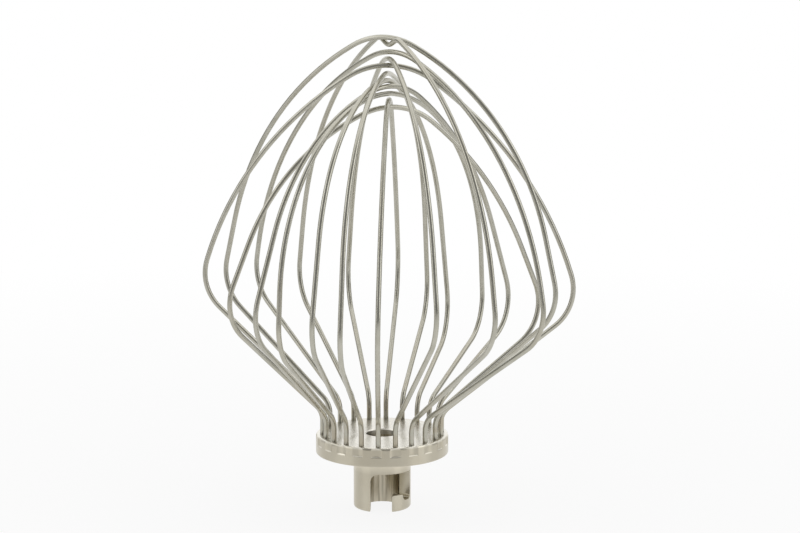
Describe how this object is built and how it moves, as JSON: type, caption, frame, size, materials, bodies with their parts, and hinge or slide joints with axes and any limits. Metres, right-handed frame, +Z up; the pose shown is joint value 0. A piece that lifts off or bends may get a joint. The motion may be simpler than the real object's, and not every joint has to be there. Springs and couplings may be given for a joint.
{
  "type": "stand mixer wire whisk",
  "caption": "Balloon-shaped wire whisk for a stand mixer: bent steel wire loops crossing at a crown, held in the flange of a tubular hub with a bayonet slot.",
  "frame": {"origin": "on the bore's axis, at the end face of the hub's tube", "axes": "+Z up along the bore from the tube's end to the crown of the wires; -Y towards the bayonet slot's entry"},
  "size_m": [0.1398, 0.1393, 0.1794],
  "materials": {
    "hub": "satin, die cast and turned",
    "wire": "satin drawn wire"
  },
  "bodies": {
    "root": {"hub": "hub", "wire_loop_01": "wire", "wire_loop_02": "wire", "wire_loop_03": "wire", "wire_loop_04": "wire", "wire_loop_05": "wire", "wire_loop_06": "wire", "wire_loop_07": "wire", "wire_loop_08": "wire", "wire_loop_09": "wire", "wire_loop_10": "wire", "wire_loop_11": "wire"}
  },
  "joints": []
}
